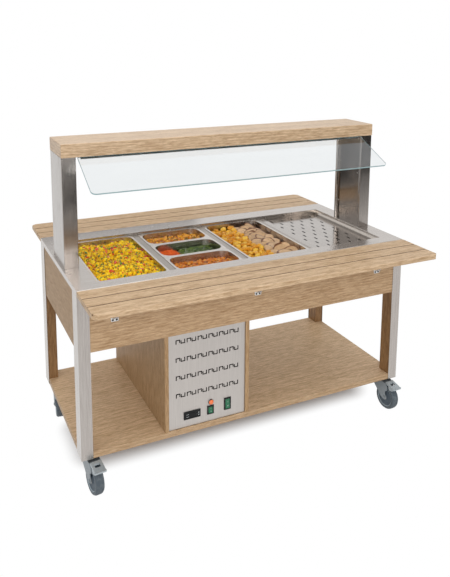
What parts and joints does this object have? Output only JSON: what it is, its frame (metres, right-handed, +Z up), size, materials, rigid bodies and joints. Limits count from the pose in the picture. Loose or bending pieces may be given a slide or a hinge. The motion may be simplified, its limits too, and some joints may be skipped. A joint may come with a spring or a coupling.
{
  "type": "steam table",
  "caption": "Heated buffet trolley with a water well for food pans, a canopy with sneeze glass, folding tray slides, a control cabinet and braked castors.",
  "frame": {"origin": "floor level under the middle of the trolley, the bottom centre of its bounding box with both slides up", "axes": "+X along the length towards the drip plate's end, -Y the customer side with the sneeze glass and the control panel, +Z up"},
  "size_m": [1.576, 1.232, 1.3978],
  "materials": {
    "oak": "light oak laminate, matt, grain along each board",
    "oak_core": "dark oiled oak, matt",
    "steel": "satin brushed stainless",
    "pan_steel": "bright pressed stainless",
    "zinc": "grey satin castings and zinc strip",
    "glass": "clear, faint grey-blue",
    "black": "satin black",
    "green": "translucent green, polished",
    "orange": "translucent amber lens",
    "brass": "satin",
    "red": "dipped red sleeve",
    "tyre": "dark slate grey rubber",
    "food": "cooked food, moist"
  },
  "bodies": {
    "frame": {"end_frame_left": "oak_core", "end_frame_right": "oak_core", "apron_front": "oak", "apron_rear": "oak", "leg_angle_fl": "steel", "leg_angle_fr": "steel", "leg_angle_rl": "steel", "leg_angle_rr": "steel", "lower_shelf": "oak", "worktop": "steel", "water_well": "steel", "pan_bars": "steel", "heating_element": "zinc", "drain_valve": "brass", "cabinet_left": "oak", "cabinet_right": "oak", "cabinet_back": "oak", "control_panel": "steel", "thermostat": "black", "pilot_lamp": "orange", "small_switch_frame": "black", "large_switch_frame": "black", "mains_inlet": "black", "post_left": "steel", "post_right": "steel", "canopy": "oak", "sneeze_glass": "glass", "glass_rail": "zinc", "bracket_plates_front": "zinc", "bracket_plates_rear": "zinc"},
    "slide_front": {"slide_front": "oak", "slide_arms_front": "zinc"},
    "slide_rear": {"slide_rear": "oak", "slide_arms_rear": "zinc"},
    "stay_front": {"slide_stay_front": "zinc"},
    "stay_rear": {"slide_stay_rear": "zinc"},
    "drain_lever": {"drain_lever": "red"},
    "small_rocker": {"small_switch_rocker": "green"},
    "large_rocker": {"large_switch_rocker": "green"},
    "rice_pan": {"rice_pan": "pan_steel"},
    "roast_pan": {"roast_pan": "pan_steel"},
    "small_pan_front": {"small_pan_front": "pan_steel"},
    "small_pan_middle": {"small_pan_middle": "pan_steel"},
    "small_pan_back": {"small_pan_back": "pan_steel"},
    "perforated_plate": {"perforated_plate": "steel"},
    "castor_fl": {"castor_fork_fl": "zinc"},
    "wheel_fl": {"castor_wheel_fl": "tyre"},
    "pedal_fl": {"castor_pedal_fl": "zinc"},
    "castor_fr": {"castor_fork_fr": "zinc"},
    "wheel_fr": {"castor_wheel_fr": "tyre"},
    "pedal_fr": {"castor_pedal_fr": "zinc"},
    "castor_rl": {"castor_fork_rl": "zinc"},
    "wheel_rl": {"castor_wheel_rl": "tyre"},
    "pedal_rl": {"castor_pedal_rl": "zinc"},
    "castor_rr": {"castor_fork_rr": "zinc"},
    "wheel_rr": {"castor_wheel_rr": "tyre"},
    "pedal_rr": {"castor_pedal_rr": "zinc"}
  },
  "joints": [
    {"name": "slide_front_fold", "type": "hinge", "parent": "frame", "child": "slide_front", "pos_m": [0, -0.38, 0.8395], "axis": [1, 0, 0], "range_deg": [0, 90]},
    {"name": "stay_front_swing", "type": "hinge", "parent": "frame", "child": "stay_front", "pos_m": [0, -0.3804, 0.742], "axis": [1, 0, 0], "range_deg": [0, 140]},
    {"name": "slide_rear_fold", "type": "hinge", "parent": "frame", "child": "slide_rear", "pos_m": [0, 0.38, 0.8395], "axis": [-1, 0, 0], "range_deg": [0, 90]},
    {"name": "stay_rear_swing", "type": "hinge", "parent": "frame", "child": "stay_rear", "pos_m": [0, 0.3804, 0.742], "axis": [-1, 0, 0], "range_deg": [0, 140]},
    {"name": "rice_pan_lift", "type": "slide", "parent": "frame", "child": "rice_pan", "axis": [0, 0, 1], "range_m": [0, 0.2]},
    {"name": "roast_pan_lift", "type": "slide", "parent": "frame", "child": "roast_pan", "axis": [0, 0, 1], "range_m": [0, 0.2]},
    {"name": "small_pan_front_lift", "type": "slide", "parent": "frame", "child": "small_pan_front", "axis": [0, 0, 1], "range_m": [0, 0.2]},
    {"name": "small_pan_middle_lift", "type": "slide", "parent": "frame", "child": "small_pan_middle", "axis": [0, 0, 1], "range_m": [0, 0.2]},
    {"name": "small_pan_back_lift", "type": "slide", "parent": "frame", "child": "small_pan_back", "axis": [0, 0, 1], "range_m": [0, 0.2]},
    {"name": "plate_lift", "type": "slide", "parent": "frame", "child": "perforated_plate", "axis": [0, 0, 1], "range_m": [0, 0.12]},
    {"name": "drain_lever_turn", "type": "hinge", "parent": "frame", "child": "drain_lever", "pos_m": [0.5498, 0.1418, 0.651], "axis": [0, -1, 0], "range_deg": [0, 90]},
    {"name": "small_rocker_tilt", "type": "hinge", "parent": "frame", "child": "small_rocker", "pos_m": [-0.2218, -0.3575, 0.2322], "axis": [1, 0, 0], "range_deg": [0, 8]},
    {"name": "large_rocker_tilt", "type": "hinge", "parent": "frame", "child": "large_rocker", "pos_m": [-0.1403, -0.3575, 0.2414], "axis": [1, 0, 0], "range_deg": [0, 8]},
    {"name": "castor_fl_swivel", "type": "hinge", "parent": "frame", "child": "castor_fl", "pos_m": [-0.741, -0.312, 0.1538], "axis": [0, 0, 1], "continuous": true},
    {"name": "wheel_fl_spin", "type": "hinge", "parent": "castor_fl", "child": "wheel_fl", "pos_m": [-0.73466, -0.36361, 0.0625], "axis": [0.9925, 0.1219, 0], "continuous": true},
    {"name": "pedal_fl_press", "type": "hinge", "parent": "castor_fl", "child": "pedal_fl", "pos_m": [-0.73296, -0.37751, 0.1378], "axis": [0.9925, 0.1219, 0], "range_deg": [0, 14]},
    {"name": "castor_fr_swivel", "type": "hinge", "parent": "frame", "child": "castor_fr", "pos_m": [0.741, -0.312, 0.1538], "axis": [0, 0, 1], "continuous": true},
    {"name": "wheel_fr_spin", "type": "hinge", "parent": "castor_fr", "child": "wheel_fr", "pos_m": [0.74463, -0.36387, 0.0625], "axis": [0.9976, 0.0698, 0], "continuous": true},
    {"name": "pedal_fr_press", "type": "hinge", "parent": "castor_fr", "child": "pedal_fr", "pos_m": [0.7456, -0.37784, 0.1378], "axis": [0.9976, 0.0698, 0], "range_deg": [0, 14]},
    {"name": "castor_rl_swivel", "type": "hinge", "parent": "frame", "child": "castor_rl", "pos_m": [-0.741, 0.312, 0.1538], "axis": [0, 0, 1], "continuous": true},
    {"name": "wheel_rl_spin", "type": "hinge", "parent": "castor_rl", "child": "wheel_rl", "pos_m": [-0.74734, 0.26039, 0.0625], "axis": [0.9925, -0.1219, 0], "continuous": true},
    {"name": "pedal_rl_press", "type": "hinge", "parent": "castor_rl", "child": "pedal_rl", "pos_m": [-0.74904, 0.24649, 0.1378], "axis": [0.9925, -0.1219, 0], "range_deg": [0, 14]},
    {"name": "castor_rr_swivel", "type": "hinge", "parent": "frame", "child": "castor_rr", "pos_m": [0.741, 0.312, 0.1538], "axis": [0, 0, 1], "continuous": true},
    {"name": "wheel_rr_spin", "type": "hinge", "parent": "castor_rr", "child": "wheel_rr", "pos_m": [0.73918, 0.26003, 0.0625], "axis": [0.9994, -0.0349, 0], "continuous": true},
    {"name": "pedal_rr_press", "type": "hinge", "parent": "castor_rr", "child": "pedal_rr", "pos_m": [0.7387, 0.24604, 0.1378], "axis": [0.9994, -0.0349, 0], "range_deg": [0, 14]}
  ],
  "couplings": [
    {"joint": "stay_front_swing", "follows": "slide_front_fold", "ratio": 1.5484},
    {"joint": "stay_rear_swing", "follows": "slide_rear_fold", "ratio": 1.5484}
  ]
}
